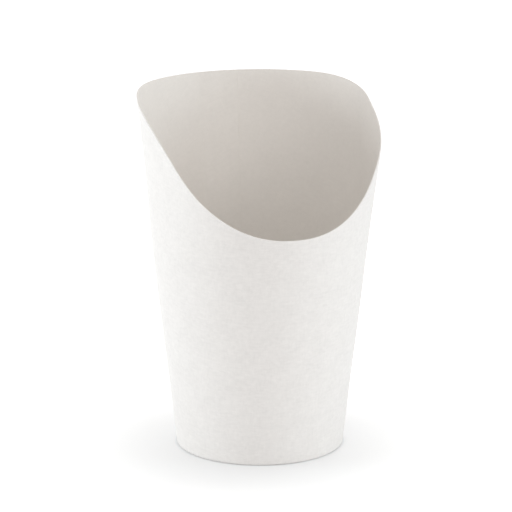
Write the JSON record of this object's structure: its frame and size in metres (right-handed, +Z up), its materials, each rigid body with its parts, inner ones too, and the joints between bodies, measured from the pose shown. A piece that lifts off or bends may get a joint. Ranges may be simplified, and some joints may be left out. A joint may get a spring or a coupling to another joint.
{
  "type": "paper scoop cup",
  "caption": "Empty tapered round paperboard cup with a plain die-cut rim scooped low at the front, a lap seam up the back and a recessed base.",
  "frame": {"origin": "on the cup's axis, in the plane it stands on", "axes": "+Z up the axis from the standing plane to the mouth, -Y towards the low front of the scoop, +Y towards the lap seam at the back, +X to the right seen from the front"},
  "size_m": [0.0876, 0.0844, 0.1284],
  "materials": {
    "sidewall_board": "matte white coated board",
    "base_board": "matte white coated board"
  },
  "bodies": {
    "root": {"sidewall": "sidewall_board", "base": "base_board"}
  },
  "joints": []
}
